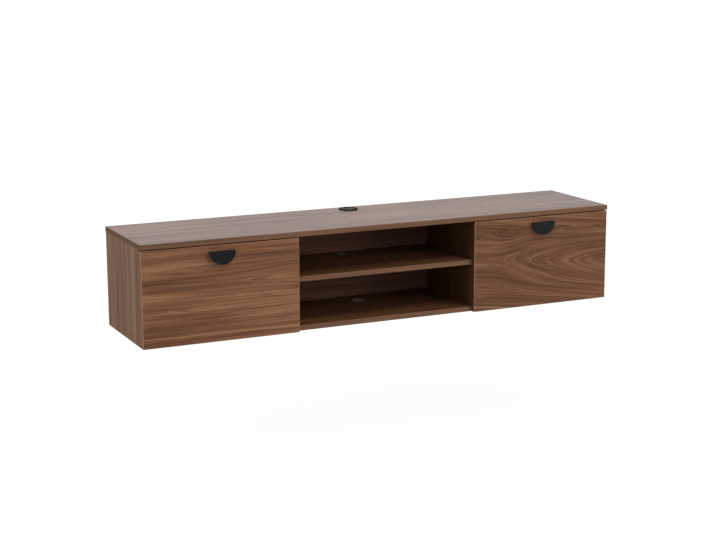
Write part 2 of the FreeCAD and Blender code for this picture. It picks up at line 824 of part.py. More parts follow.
def make_stay_arm(label, middle_x):
    """A flat arm with a pivot hole at its door end and a slot along the rest."""
    arm = new_body(f"{label}_body")
    outline = new_sketch(arm, f"{label}_outline", "YZ_Plane")
    draw_slot(outline, 0, reach_open + size("arm_end_margin"), size("arm_half_width"))
    pad(arm, outline, size("arm_thickness"), both_ways=True)
    slot = new_sketch(arm, f"{label}_slot", "YZ_Plane")
    slot_radius = size("stud_radius") + size("slot_play")
    draw_slot(slot, reach_closed - size("slot_end_play"), reach_open + size("slot_end_play"),
              slot_radius)
    cut_through(arm, slot)
    pivot = new_sketch(arm, f"{label}_pivot", "YZ_Plane")
    draw_circle(pivot, (0, 0), size("rivet_radius") + size("rivet_running_play"))
    cut_through(arm, pivot)
    arm.Placement.Rotation = FreeCAD.Rotation(X_AXIS, -stay_slope.value)
    arm.setExpression("Placement.Rotation.Angle", (-stay_slope).text)
    place(arm, (middle_x, hinge_y + stay_pin_in, hinge_z + stay_pin_up))
    node(label, arm)


def make_stays(side, name, door_screws, fixed_screws):
    """Two slotted stays: one on the side panel and one on the divider."""
    studs, brackets, rivets = [], [], []
    pin_y, pin_z = hinge_y + stay_pin_in, hinge_z + stay_pin_up
    stud_y, stud_z = hinge_y + stay_stud_in, hinge_z + stay_stud_up
    plate = size("plate_thickness")
    arm_near = size("stay_standoff")
    arm_far = arm_near + size("arm_thickness")
    head_near = arm_far + size("arm_side_gap")
    walls = (("outer", side * side_inner, -side, f"{name}_side_panel"),
             ("inner", side * divider_outer, side, f"{name}_divider"))
    for where, wall, inward, panel in walls:
        tag = f"{name}_{where}_stay"
        direction = inward * X_AXIS

        def spread(near, far):
            ends = (wall + inward * near, wall + inward * far)
            return ends if inward > 0 else ends[::-1]

        low, high = spread(zero, plate)
        half_depth, half_height = size("plate_half_depth"), size("plate_half_height")
        base = box(f"{tag}_plate", (low, stud_y - half_depth, stud_z - half_height),
                   (high, stud_y + half_depth, stud_z + half_height))
        stud = cylinder(f"{tag}_stud", (wall, stud_y, stud_z), direction, size("stud_radius"),
                        head_near + size("stud_head_height"))
        head = cylinder(f"{tag}_stud_head", (wall + inward * head_near, stud_y, stud_z), direction,
                        size("stud_head_radius"), size("stud_head_height"))
        plate_holes = []
        for step, label in ((-1, "a"), (1, "b")):
            seat = (wall + inward * plate, stud_y, stud_z + step * size("plate_screw_offset"))
            fixed_screws.append(screw(f"{tag}_plate_{label}", seat, -direction,
                                      size("screw_length"), [bores[panel], plate_holes]))
        studs.append(cut(f"{tag}_stud_plate", fuse(f"{tag}_stud_blank", [base, stud, head]),
                         plate_holes))

        make_stay_arm(f"{tag}_arm", wall + inward * (arm_near + size("arm_thickness") / 2))

        half_ear = size("ear_half_height")
        low, high = spread(head_near, head_near + size("bracket_width"))
        foot = box(f"{tag}_foot", (low, door_inner, pin_z - size("bracket_half_height")),
                   (high, door_inner + plate, pin_z + size("bracket_half_height")))
        low, high = spread(head_near, head_near + plate)
        ear = box(f"{tag}_ear", (low, door_inner, pin_z - half_ear), (high, pin_y, pin_z + half_ear))
        ear_start = (wall + inward * head_near, pin_y, pin_z)
        ear_end = cylinder(f"{tag}_ear_end", ear_start, direction, half_ear, plate)
        pivot = cylinder(f"{tag}_ear_bore", ear_start, direction, size("rivet_radius"), plate)
        foot_holes = []
        for step, label in ((-1, "a"), (1, "b")):
            seat = (wall + inward * (head_near + size("bracket_screw_reach")),
                    door_inner + plate, pin_z + step * size("bracket_screw_offset"))
            door_screws.append(screw(f"{tag}_foot_{label}", seat, -Y_AXIS, size("screw_length"),
                                     [bores[f"{name}_flap_door"], foot_holes]))
        brackets.append(cut(f"{tag}_bracket", fuse(f"{tag}_bracket_blank", [foot, ear, ear_end]),
                            [pivot] + foot_holes))

        rivet_head = size("rivet_head_height")
        near = arm_near - size("arm_side_gap") - rivet_head
        far = head_near + plate
        shank = cylinder(f"{tag}_rivet_shank", (wall + inward * near, pin_y, pin_z), direction,
                         size("rivet_radius"), far - near)
        near_head = cylinder(f"{tag}_rivet_near", (wall + inward * near, pin_y, pin_z), direction,
                             size("rivet_head_radius"), rivet_head)
        far_head = cylinder(f"{tag}_rivet_far", (wall + inward * far, pin_y, pin_z), direction,
                            size("rivet_head_radius"), rivet_head)
        rivets.append(fuse(f"{tag}_rivet", [shank, near_head, far_head]))
    group(f"{name}_stay_studs", studs)
    group(f"{name}_stay_brackets", brackets)
    group(f"{name}_stay_rivets", rivets)


def make_catches(fixed_screws, door_screws):
    """A magnetic catch under the top panel at the middle of each door."""
    housings, magnets = [], []
    strike = size("strike_thickness")
    front = door_inner + strike + size("catch_gap")
    half = size("catch_half_width")
    low_z = under_top - size("catch_height")
    magnet_low = low_z + (size("catch_height") - size("magnet_height")) / 2
    for side, name in ((-1, "left"), (1, "right")):
        centre = side * door_centre
        blank = box(f"{name}_catch_blank", (centre - half, front, low_z),
                    (centre + half, front + size("catch_depth"), under_top))
        magnet_corners = ((centre - size("magnet_half_width"), front, magnet_low),
                          (centre + size("magnet_half_width"), front + size("magnet_depth"),
                           magnet_low + size("magnet_height")))
        magnets.append(box(f"{name}_magnet", *magnet_corners))
        holes = [box(f"{name}_magnet_pocket", *magnet_corners)]
        for step, label in ((-1, "a"), (1, "b")):
            seat = (centre + step * size("catch_screw_offset"), front + size("catch_depth") / 2,
                    low_z)
            fixed_screws.append(screw(f"{name}_catch_{label}", seat, Z_AXIS,
                                      size("catch_height") + size("screw_length"),
                                      [bores["top_panel"], holes]))
        housings.append(cut(f"{name}_catch", blank, holes))

        strike_top = door_top - size("strike_drop")
        strike_low = strike_top - size("strike_height")
        plate = box(f"{name}_strike_blank",
                    (centre - size("strike_half_width"), door_inner, strike_low),
                    (centre + size("strike_half_width"), door_inner + strike, strike_top))
        strike_holes = []
        seat = (centre, door_inner + strike, strike_low + size("strike_screw_rise"))
        door_screws[name].append(screw(f"{name}_strike", seat, -Y_AXIS, size("screw_length"),
                                       [bores[f"{name}_flap_door"], strike_holes]))
        node(f"{name}_strike_plate", cut(f"{name}_strike_drilled", plate, strike_holes))
    group("catch_housings", housings)
    group("catch_magnets", magnets)


def make_bumpers():
    bumpers = []
    height = under_top - size("bumper_drop")
    length = size("door_front_gap") - size("bumper_gap")
    for side, name in ((-1, "left"), (1, "right")):
        for where, middle in (("side", side_inner + board / 2), ("divider", bay_half + board / 2)):
            point = (side * middle, carcass_front, height)
            bumpers.append(cylinder(f"{name}_{where}_bumper", point, -Y_AXIS,
                                    size("bumper_radius"), length))
    group("door_bumpers", bumpers)


def make_handle(side, name):
    """A half-moon pull: a flange along its straight upper edge carries the front plate."""
    radius, reach, wall = size("handle_radius"), size("handle_reach"), size("handle_wall")
    handle = new_body(f"{name}_handle_body")
    moon = new_sketch(handle, f"{name}_handle_moon", "XZ_Plane")
    arc = moon.addGeometry(Part.ArcOfCircle(
        Part.Circle(flat((0, 0)), Z_AXIS, radius.value), math.pi, 2 * math.pi))
    edge = moon.addGeometry(Part.LineSegment(flat((radius, 0)), flat((-radius, 0))))
    moon.addConstraint(Sketcher.Constraint("Coincident", arc, 3, -1, 1))
    moon.addConstraint(Sketcher.Constraint("Coincident", arc, 2, edge, 1))
    moon.addConstraint(Sketcher.Constraint("Coincident", edge, 2, arc, 1))
    moon.addConstraint(Sketcher.Constraint("PointOnObject", edge, 1, -1))
    moon.addConstraint(Sketcher.Constraint("PointOnObject", edge, 2, -1))
    rule = moon.addConstraint(Sketcher.Constraint("Radius", arc, radius.value))
    moon.setExpression(f"Constraints[{rule}]", radius.text)
    pad(handle, moon, reach)

    hollow = new_sketch(handle, f"{name}_handle_hollow", "XZ_Plane")
    far = 2 * radius
    draw_polygon(hollow, [(-far, -wall), (far, -wall), (far, -far), (-far, -far)])
    pocket(handle, hollow, reach - wall)

    post_offset = size("handle_post_offset")
    post_drop = wall + size("handle_post_radius") - size("handle_post_overlap")
    posts = new_sketch(handle, f"{name}_handle_posts", "XZ_Plane")
    for step in (-1, 1):
        draw_circle(posts, (step * post_offset, -post_drop), size("handle_post_radius"))
    solid = pad(handle, posts, reach - wall / 2)
    doc.recompute()

    bevel = handle.newObject("PartDesign::Chamfer", f"{name}_handle_bevel")
    front_edges = [f"Edge{index}" for index, line in enumerate(solid.Shape.Edges, start=1)
                   if abs(line.BoundBox.YMin + reach.value) < 0.01
                   and abs(line.BoundBox.YMax + reach.value) < 0.01]
    bevel.Base = (solid, front_edges)
    bind(bevel, Size=lowest(size("handle_edge_bevel"), wall / 3))

    threads = new_sketch(handle, f"{name}_handle_threads", "XZ_Plane")
    for step in (-1, 1):
        draw_circle(threads, (step * post_offset, -post_drop), size("handle_screw_radius"))
    grip = size("handle_screw_grip")
    pocket(handle, threads, grip)

    top_z = door_top - size("handle_drop")
    place(handle, (side * door_centre, door_front, top_z))
    node(f"{name}_handle", handle)

    screws = []
    head_height = size("handle_screw_head_height")
    for step, label in ((-1, "a"), (1, "b")):
        seat = (side * door_centre + step * post_offset, door_inner, top_z - post_drop)
        shank = cylinder(f"{name}_handle_shank_{label}", seat, -Y_AXIS,
                         size("handle_screw_radius"), door_thickness + grip)
        head = cylinder(f"{name}_handle_head_{label}", along(seat, Y_AXIS, head_height), -Y_AXIS,
                        size("handle_screw_head_radius"), head_height)
        drive = doc.addObject("Part::Prism", f"{name}_handle_drive_{label}")
        bind(drive, Circumradius=size("screw_radius"), Height=size("screw_recess"))
        drive.Polygon = 6
        drive.Placement.Rotation = FreeCAD.Rotation(Z_AXIS, -Y_AXIS)
        place(drive, along(seat, Y_AXIS, head_height))
        blank = fuse(f"{name}_handle_screw_blank_{label}", [shank, head])
        screws.append(cut(f"{name}_handle_screw_{label}", blank, [drive]))
        hole_radius = size("handle_screw_radius") + size("handle_screw_play")
        bores[f"{name}_flap_door"].append(cylinder(f"{name}_handle_hole_{label}", seat, -Y_AXIS,
                                                   hole_radius, door_thickness))
    group(f"{name}_handle_screws", screws)


make_carcass()
make_back_panel()
make_cable_holes()
make_wall_fixing_holes()
make_carcass_fittings()
make_back_panel_screws()
make_shelf_pins()
make_grommet()
fixed_screws = []
door_screws = {"left": [], "right": []}
for side, name in ((-1, "left"), (1, "right")):
    make_hinges(side, name, door_screws[name], fixed_screws)
    make_stays(side, name, door_screws[name], fixed_screws)
    make_handle(side, name)
make_catches(fixed_screws, door_screws)
make_bumpers()
for name, screws in door_screws.items():
    group(f"{name}_door_screws", screws)
group("carcass_screws", fixed_screws)
finish_boards()
doc.recompute()

failed = [item.Name for item in doc.Objects
          if {"Invalid", "Error"} & set(item.State)]
assert not failed, f"objects failed: {failed}"
for label, item in nodes.items():
    assert not item.Shape.isNull() and item.Shape.isValid(), f"{label} has no valid shape"
    assert item.Shape.Solids, f"{label} holds no solid"

os.makedirs("parts", exist_ok=True)
for label, item in nodes.items():
    item.Shape.exportStep(f"parts/{label}.step")
    print(f"{label}: {len(item.Shape.Solids)} solid(s), {item.Shape.Volume / 1000:.1f} cm3")
print(f"{len(nodes)} nodes")
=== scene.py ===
"""Looks of the floating media console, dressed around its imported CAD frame.

Metres, +X to the right, the front faces -Y, +Z up; the origin is on the wall plane.
"""

import json
import math

import bmesh
import bpy
from mathutils import Matrix, Vector


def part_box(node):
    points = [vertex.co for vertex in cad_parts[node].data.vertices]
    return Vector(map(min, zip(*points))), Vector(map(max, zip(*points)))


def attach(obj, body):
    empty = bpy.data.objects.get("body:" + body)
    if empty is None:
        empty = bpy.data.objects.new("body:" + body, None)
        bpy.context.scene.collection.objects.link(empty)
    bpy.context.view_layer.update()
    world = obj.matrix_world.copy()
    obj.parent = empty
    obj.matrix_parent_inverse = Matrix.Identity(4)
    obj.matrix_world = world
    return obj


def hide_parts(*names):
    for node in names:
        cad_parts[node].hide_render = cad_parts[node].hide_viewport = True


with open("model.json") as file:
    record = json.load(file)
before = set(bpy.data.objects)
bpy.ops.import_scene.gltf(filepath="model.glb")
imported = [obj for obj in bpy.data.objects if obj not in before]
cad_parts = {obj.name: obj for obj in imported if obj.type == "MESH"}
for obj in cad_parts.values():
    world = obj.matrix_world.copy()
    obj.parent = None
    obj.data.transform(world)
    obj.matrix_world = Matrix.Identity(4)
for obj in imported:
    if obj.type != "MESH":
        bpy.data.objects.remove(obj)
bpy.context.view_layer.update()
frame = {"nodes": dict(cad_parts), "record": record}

MM = 0.001
X, Y, Z = 0, 1, 2
SIDES = ((-1, "left"), (1, "right"))


# Camera, floor and light.

SENSOR_WIDTH = 36.0
IMAGE_WIDTH = 716
FOCAL_PIXELS = 1611.9
CAMERA_PLACE = (-2.4368, -5.3255, 1.3377)
CAMERA_HEADING = 25.145
CAMERA_DROP = 11.812
CAMERA_ROLL = -0.19
CAMERA_REACH = (0.05, 100.0)

AMBIENT = 0.66
MIDDLE = (0.0, -0.2, 0.2)
LEFT_END = (-0.9, -0.2, 0.2)
# Each lamp's name, place, aim, width and height, and power in watts.
LAMPS = (
    ("key", (1.0, -2.25, 4.0), MIDDLE, (2.8, 1.8), 72.0),
    ("front", (1.8, -4.0, 2.2), MIDDLE, (2.0, 1.4), 30.0),
    ("fill", (3.0, -3.6, 0.9), MIDDLE, (1.6, 1.2), 30.0),
    ("side", (-3.6, -0.05, 1.3), LEFT_END, (1.4, 1.4), 37.0),
)

FLOOR_HEIGHT = -0.45
FLOOR_SIZE = 40.0
# The floor's grey for the light that it sends back to the object, and the darker grey that shows,
# which takes the shadow and lies under a glow.
FLOOR_GREY = 0.6
SHADOW_GREY = 0.12
# The glow: two distances from the middle of the floor, and its strength at each.
FLOOR_GLOW = (0.8, 4.0, 0.90, 1.0)


def grey(level):
    return (level, level, level, 1.0)


def make_camera():
    data = bpy.data.cameras.new("camera")
    data.sensor_width = SENSOR_WIDTH
    data.lens = FOCAL_PIXELS * SENSOR_WIDTH / IMAGE_WIDTH
    data.clip_start, data.clip_end = CAMERA_REACH
    camera = bpy.data.objects.new("camera", data)
    bpy.context.collection.objects.link(camera)
    turn = (Matrix.Rotation(math.radians(-CAMERA_HEADING), 4, "Z")
            @ Matrix.Rotation(math.radians(90 - CAMERA_DROP), 4, "X")
            @ Matrix.Rotation(math.radians(CAMERA_ROLL), 4, "Z"))
    camera.matrix_world = Matrix.Translation(CAMERA_PLACE) @ turn
    bpy.context.scene.camera = camera


def make_lamp(name, place, aim, size, power):
    data = bpy.data.lights.new(name, "AREA")
    data.shape = "RECTANGLE"
    data.size, data.size_y = size
    data.energy = power
    lamp = bpy.data.objects.new(name, data)
    lamp.location = place
    lamp.rotation_mode = "QUATERNION"
    lamp.rotation_quaternion = (Vector(aim) - Vector(place)).to_track_quat("-Z", "Y")
    bpy.context.collection.objects.link(lamp)


def sees_background(tree):
    """One for rays that show the background: from the camera, or mirrored, or through glass."""
    path = tree.nodes.new("ShaderNodeLightPath")
    total = path.outputs["Is Camera Ray"]
    for name in ("Is Glossy Ray", "Is Transmission Ray"):
        add = tree.nodes.new("ShaderNodeMath")
        add.operation = "MAXIMUM"
        tree.links.new(total, add.inputs[0])
        tree.links.new(path.outputs[name], add.inputs[1])
        total = add.outputs[0]
    return total


def make_world():
    """Even light of the ambient strength, from surroundings that show as plain white."""
    world = bpy.data.worlds.new("studio")
    bpy.context.scene.world = world
    world.use_nodes = True
    tree = world.node_tree
    tree.nodes.clear()
    white = tree.nodes.new("ShaderNodeBackground")
    white.inputs["Color"].default_value = grey(1.0)
    light = tree.nodes.new("ShaderNodeBackground")
    light.inputs["Color"].default_value = grey(1.0)
    light.inputs["Strength"].default_value = AMBIENT
    mix = tree.nodes.new("ShaderNodeMixShader")
    out = tree.nodes.new("ShaderNodeOutputWorld")
    tree.links.new(sees_background(tree), mix.inputs[0])
    tree.links.new(light.outputs[0], mix.inputs[1])
    tree.links.new(white.outputs[0], mix.inputs[2])
    tree.links.new(mix.outputs[0], out.inputs["Surface"])


def make_floor():
    """A pale floor that shows as white with a faint shadow, and is clear from below."""
    mesh = bpy.data.meshes.new("floor")
    half = FLOOR_SIZE / 2
    corners = [(-half, -half, FLOOR_HEIGHT), (half, -half, FLOOR_HEIGHT),
               (half, half, FLOOR_HEIGHT), (-half, half, FLOOR_HEIGHT)]
    mesh.from_pydata(corners, [], [(0, 1, 2, 3)])
    floor = bpy.data.objects.new("floor", mesh)
    bpy.context.collection.objects.link(floor)
    material = bpy.data.materials.new("floor")
    material.use_nodes = True
    tree = material.node_tree
    tree.nodes.clear()
    pale = tree.nodes.new("ShaderNodeBsdfDiffuse")
    pale.inputs["Color"].default_value = grey(FLOOR_GREY)
    soft = tree.nodes.new("ShaderNodeBsdfDiffuse")
    soft.inputs["Color"].default_value = grey(SHADOW_GREY)
    glow = tree.nodes.new("ShaderNodeEmission")
    place = tree.nodes.new("ShaderNodeTexCoord")
    reach = tree.nodes.new("ShaderNodeVectorMath")
    reach.operation = "LENGTH"
    tree.links.new(place.outputs["Object"], reach.inputs[0])
    rise = tree.nodes.new("ShaderNodeMapRange")
    for index, value in enumerate(FLOOR_GLOW, start=1):
        rise.inputs[index].default_value = value
    tree.links.new(reach.outputs["Value"], rise.inputs[0])
    tree.links.new(rise.outputs[0], glow.inputs["Strength"])
    add = tree.nodes.new("ShaderNodeAddShader")
    mix = tree.nodes.new("ShaderNodeMixShader")
    out = tree.nodes.new("ShaderNodeOutputMaterial")
    tree.links.new(soft.outputs[0], add.inputs[0])
    tree.links.new(glow.outputs[0], add.inputs[1])
    tree.links.new(sees_background(tree), mix.inputs[0])
    tree.links.new(pale.outputs[0], mix.inputs[1])
    tree.links.new(add.outputs[0], mix.inputs[2])
    under = tree.nodes.new("ShaderNodeNewGeometry")
    clear = tree.nodes.new("ShaderNodeBsdfTransparent")
    one_sided = tree.nodes.new("ShaderNodeMixShader")
    tree.links.new(under.outputs["Backfacing"], one_sided.inputs[0])
    tree.links.new(mix.outputs[0], one_sided.inputs[1])
    tree.links.new(clear.outputs[0], one_sided.inputs[2])
    tree.links.new(one_sided.outputs[0], out.inputs["Surface"])
    mesh.materials.append(material)


# Materials.

def shade(colour, factor):
    return tuple(part * factor for part in colour)


class Graph:
    """A material's nodes round its Principled shader, with short calls for those used here."""

    def __init__(self, name):
        self.material = bpy.data.materials.new(name)
        self.material.use_nodes = True
        self.tree = self.material.node_tree
        self.shader = self.tree.nodes["Principled BSDF"]

    def feed(self, socket, value):
        if isinstance(value, bpy.types.NodeSocket):
            self.tree.links.new(value, socket)
        elif value is not None:
            socket.default_value = value

    def add(self, kind, values=(), output=0, **settings):
        node = self.tree.nodes.new(kind)
        for key, value in settings.items():
            setattr(node, key, value)
        for key, value in dict(values).items():
            self.feed(node.inputs[key], value)
        return node.outputs[output]

    def maths(self, operation, first, second=None, third=None):
        return self.add("ShaderNodeMath", {0: first, 1: second, 2: third}, operation=operation)

    def place(self):
        """The point's own three coordinates, in the frame that the piece was made in."""
        point = self.add("ShaderNodeTexCoord", output="Object")
        split = self.tree.nodes.new("ShaderNodeSeparateXYZ")
        self.feed(split.inputs[0], point)
        return [split.outputs[axis] for axis in (X, Y, Z)]

    def point(self, x, y, z):
        return self.add("ShaderNodeCombineXYZ", {0: x, 1: y, 2: z})

    def stretched(self, place, scales, shift=0.0):
        parts = [self.maths("MULTIPLY_ADD", part, scale, shift)
                 for part, scale in zip(place, scales)]
        return self.point(*parts)

    def noise(self, vector, scale=1.0, detail=2.0, roughness=0.5):
        return self.add("ShaderNodeTexNoise", {"Vector": vector, "Scale": scale, "Detail": detail,
                                               "Roughness": roughness}, output="Fac")

    def spread(self, value, low, high):
        """The value stretched so that low to high becomes nought to one."""
        return self.add("ShaderNodeMapRange", {0: value, 1: low, 2: high, 3: 0.0, 4: 1.0})

    def offset(self, value, place, size):
        """How far the value is past a place, counted in sizes."""
        return self.maths("MULTIPLY_ADD", value, 1 / size, -place / size)

    def bell(self, *offsets):
        """One where every offset is nought, and next to nothing where one is past two."""
        total, *others = [self.maths("MULTIPLY", offset, offset) for offset in offsets]
        for square in others:
            total = self.maths("ADD", total, square)
        return self.maths("EXPONENT", self.maths("MULTIPLY", total, -1.0))

    def weigh(self, first, second, share):
        """The mean of two values, of which the first has this share."""
        return self.maths("MULTIPLY_ADD", first, share, self.maths("MULTIPLY", second, 1 - share))

    def vary(self, middle, *layers):
        """A value about a middle. Each layer is a noise and how far it moves the value in all."""
        total = middle - sum(reach for _, reach in layers) / 2
        for value, reach in layers:
            total = self.maths("MULTIPLY_ADD", value, reach, total)
        return total

    def ramp(self, value, stops):
        node = self.tree.nodes.new("ShaderNodeValToRGB")
        self.feed(node.inputs[0], value)
        elements = node.color_ramp.elements
        while len(elements) < len(stops):
            elements.new(0.5)
        for element, (position, colour) in zip(elements, stops):
            element.position = position
            element.color = (*colour, 1)
        return node.outputs[0]

    def shades(self, value, colour, darkest, palest):
        """Shades of one colour, over the part of nought to one that noise mostly fills."""
        return self.ramp(value, [(0.3, shade(colour, darkest)), (0.7, shade(colour, palest))])

    def mix(self, amount, first, second, blend="MIX"):
        node = self.tree.nodes.new("ShaderNodeMix")
        node.data_type = "RGBA"
        node.blend_type = blend
        for index, value in ((0, amount), (6, first), (7, second)):
            if isinstance(value, tuple):
                value = (*value, 1)
            self.feed(node.inputs[index], value)
        return node.outputs[2]

    def bump(self, height, strength, distance):
        normal = self.add("ShaderNodeBump", {"Height": height, "Strength": strength,
                                             "Distance": distance})
        self.feed(self.shader.inputs["Normal"], normal)

    def set(self, **sockets):
        for name, value in sockets.items():
            self.feed(self.shader.inputs[name.replace("_", " ")], value)
        return self.material


# Walnut pattern. Each board is a slice of a log: lines of equal distance from its heart line show
# as arches where the heart comes near the face, and as long streaks elsewhere.

DARK_WALNUT = (0.058, 0.026, 0.014)
WALNUT_STOPS = ((0.18, DARK_WALNUT), (0.38, (0.110, 0.051, 0.027)), (0.50, (0.165, 0.079, 0.041)),
                (0.63, (0.225, 0.118, 0.064)), (0.85, (0.300, 0.175, 0.105)))

# Each layer of noise: its features per metre in three directions, a shift that sets it apart from
# the others, its detail and its roughness. The directions are along the grain, across it and into
# the board, or for streak, line and vein outwards from the heart, along the grain and aside.
WALNUT_LAYERS = {
    "sway": ((1.7, 6.0, 6.0), 0.0, 1.0, 0.5),
    "ripple": ((7.0, 26.0, 26.0), 3.1, 1.0, 0.5),
    "streak": ((58.0, 1.1, 7.0), 0.0, 3.0, 0.62),
    "line": ((300.0, 2.4, 7.0), 7.3, 2.0, 0.6),
    "fibre": ((16.0, 1300.0, 1300.0), 0.0, 1.0, 0.5),
    "pore": ((45.0, 900.0, 900.0), 1.7, 0.0, 0.5),
    "cloud": ((1.3, 5.0, 5.0), 11.0, 2.0, 0.5),
    "vein": ((34.0, 0.8, 7.0), 21.0, 1.0, 0.5),
}
# How far sway and ripple move the lines sideways, in metres.
SWAY_REACH = 0.060
RIPPLE_REACH = 0.018
# How far a step into the board counts as one away from the heart.
DEPTH_SHARE = 0.4
# How softly the arches' opening comes to its end, as a share of the opening.
OPENING_SOFTNESS = 0.2
# How much each layer moves the tone.
STREAK_GAIN = 0.60
LINE_GAIN = 0.50
FIBRE_GAIN = 0.16
CLOUD_GAIN = 0.26
# Dark veins run where their noise passes one half, and dark flecks lie in the deepest pores.
VEIN_WIDTH = 0.022
VEIN_STRENGTH = 0.34
FLECK_RANGE = (0.66, 0.78)
FLECK_STRENGTH = 0.45
# What flecks and fibres add to the roughness, and how high fibres stand to the flecks' depth.
FLECK_DULLNESS = 0.12
FIBRE_DULLNESS = 0.10
FIBRE_RELIEF = 0.35


def heart_rings(graph, flow, lift, heart=(0.0, -3.0), taper=0.0, length=0.4, spread=0.08,
                blunt=0.006, tilt=0.0, knots=()):
    """Each point's distance from the heart line, and how far aside of that line it lies.

    flow holds the places along the grain, across it and into the board, and lift moves the lines
    across. heart is the place along and across where the arches gather, taper how fast they open,
    length how far along they run, and spread how far across they reach. blunt rounds their tips,
    and tilt slants the line that the tips lie on. A heart far outside the board leaves straight
    lines. Each knot is a place along, a place across, its half length, its half width, and how
    far it pushes the lines apart.
    """
    along, across, depth = flow
    heart_along, heart_across = heart
    aside = graph.maths("ADD", graph.maths("SUBTRACT", across, heart_across), lift)
    if tilt:
        slant = graph.maths("MULTIPLY_ADD", along, -tilt, tilt * heart_along)
        aside = graph.maths("ADD", aside, slant)
    ring = graph.maths("SQRT", graph.maths("MULTIPLY_ADD", aside, aside, blunt ** 2))
    if taper:
        opening = taper * length
        share = graph.bell(graph.maths("MULTIPLY", aside, 1 / spread))
        open_by = graph.maths("MULTIPLY_ADD", along, -taper, taper * heart_along)
        open_by = graph.maths("SMOOTH_MIN", open_by, opening, OPENING_SOFTNESS * opening)
        ring = graph.maths("MULTIPLY_ADD", share, open_by, ring)
    for knot_along, knot_across, half_length, half_width, push in knots:
        near_knot = graph.bell(graph.offset(along, knot_along, half_length),
                               graph.offset(across, knot_across, half_width))
        ring = graph.maths("MULTIPLY_ADD", near_knot, push, ring)
    ring = graph.maths("MULTIPLY_ADD", depth, DEPTH_SHARE, ring)
    return ring, aside


def walnut(name, axes, seed, rings=(), tone=1.0, contrast=1.0, waver=1.0, tint=(1.0, 1.0, 1.0),
           roughness=0.42, specular=0.08, **figure):
    """A walnut-pattern surface.

    axes gives the axes along the grain, across it and into the board. Each ring is a line of its
    own: a distance from the heart line, a width and a gain in tone. waver scales how far the
    lines stray, and figure is what heart_rings takes.
    """
    graph = Graph(name)
    place = graph.place()
    flow = tuple(place[axis] for axis in axes)

    def layer(key, vector):
        scales, shift, detail, coarseness = WALNUT_LAYERS[key]
        return graph.noise(graph.stretched(vector, scales, seed + shift), detail=detail,
                           roughness=coarseness)

    sway, ripple = layer("sway", flow), layer("ripple", flow)
    lift = graph.maths("MULTIPLY_ADD", sway, SWAY_REACH * waver, -SWAY_REACH / 2 * waver)
    lift = graph.maths("MULTIPLY_ADD", ripple, RIPPLE_REACH * waver, lift)
    ring, aside = heart_rings(graph, flow, lift, **figure)
    grown = (ring, flow[0], aside)

    streak, line = layer("streak", grown), layer("line", grown)
    fibre, pore, cloud = layer("fibre", flow), layer("pore", flow), layer("cloud", flow)
    tones = graph.vary(0.0, (streak, STREAK_GAIN))
    for value, gain in ((line, LINE_GAIN), (fibre, FIBRE_GAIN), (cloud, CLOUD_GAIN)):
        tones = graph.maths("MULTIPLY_ADD", graph.maths("SUBTRACT", value, 0.5), gain, tones)
    for distance, width, gain in rings:
        near_ring = graph.bell(graph.offset(ring, distance, width))
        tones = graph.maths("MULTIPLY_ADD", near_ring, gain, tones)
    tones = graph.maths("MULTIPLY_ADD", tones, contrast, 0.5)
    colour = graph.ramp(tones, [(stop, shade(wood, tone)) for stop, wood in WALNUT_STOPS])

    dark = shade(DARK_WALNUT, tone)
    vein = graph.maths("ABSOLUTE", graph.maths("SUBTRACT", layer("vein", grown), 0.5))
    vein = graph.maths("SUBTRACT", 1.0, graph.spread(vein, 0.0, VEIN_WIDTH))
    colour = graph.mix(graph.maths("MULTIPLY", vein, VEIN_STRENGTH * contrast), colour, dark)
    fleck = graph.spread(pore, *FLECK_RANGE)
    colour = graph.mix(graph.maths("MULTIPLY", fleck, FLECK_STRENGTH), colour, dark)
    colour = graph.mix(1.0, colour, tint, "MULTIPLY")

    gloss = graph.vary(roughness, (fibre, FIBRE_DULLNESS))
    gloss = graph.maths("MULTIPLY_ADD", fleck, FLECK_DULLNESS, gloss)
    relief = graph.maths("MULTIPLY", fibre, FIBRE_RELIEF)
    relief = graph.maths("MULTIPLY_ADD", fleck, -1.0, relief)
    graph.bump(relief, strength=0.25, distance=0.12 * MM)
    return graph.set(Base_Color=colour, Roughness=gloss, Specular_IOR_Level=specular)


# The other finishes. Scales are in features per metre.

BAND_STREAKS = (2.5, 260.0, 260.0)
BAND_FIBRES = (20.0, 1500.0, 1500.0)
BAND_ROUGHNESS = 0.5
CHIPS = (420.0, 420.0, 700.0)
CHIPBOARD_STOPS = ((0.25, (0.16, 0.095, 0.050)), (0.50, (0.34, 0.225, 0.130)),
                   (0.75, (0.52, 0.38, 0.24)))
FIBREBOARD_WEAVE = (900.0, 900.0, 900.0)
FIBREBOARD_STOPS = ((0.25, (0.16, 0.090, 0.048)), (0.75, (0.29, 0.185, 0.108)))
BEECH_GRAIN = (220.0, 220.0, 60.0)
BEECH_STOPS = ((0.3, (0.38, 0.23, 0.12)), (0.7, (0.60, 0.42, 0.25)))


def edge_band(name, axes, seed, colour, specular=0.06):
    """The plastic band along a board's narrow sides: plain fine lines along its length."""
    graph = Graph(name)
    place = graph.place()
    flow = tuple(place[axis] for axis in axes)
    streak = graph.noise(graph.stretched(flow, BAND_STREAKS, seed), detail=2.0)
    fibre = graph.noise(graph.stretched(flow, BAND_FIBRES, seed), detail=1.0)
    tones = graph.shades(graph.weigh(fibre, streak, share=0.4), colour, darkest=0.68,
                         palest=1.32)
    graph.bump(fibre, strength=0.15, distance=0.08 * MM)
    gloss = graph.vary(BAND_ROUGHNESS, (fibre, 0.10))
    return graph.set(Base_Color=tones, Roughness=gloss, Specular_IOR_Level=specular)


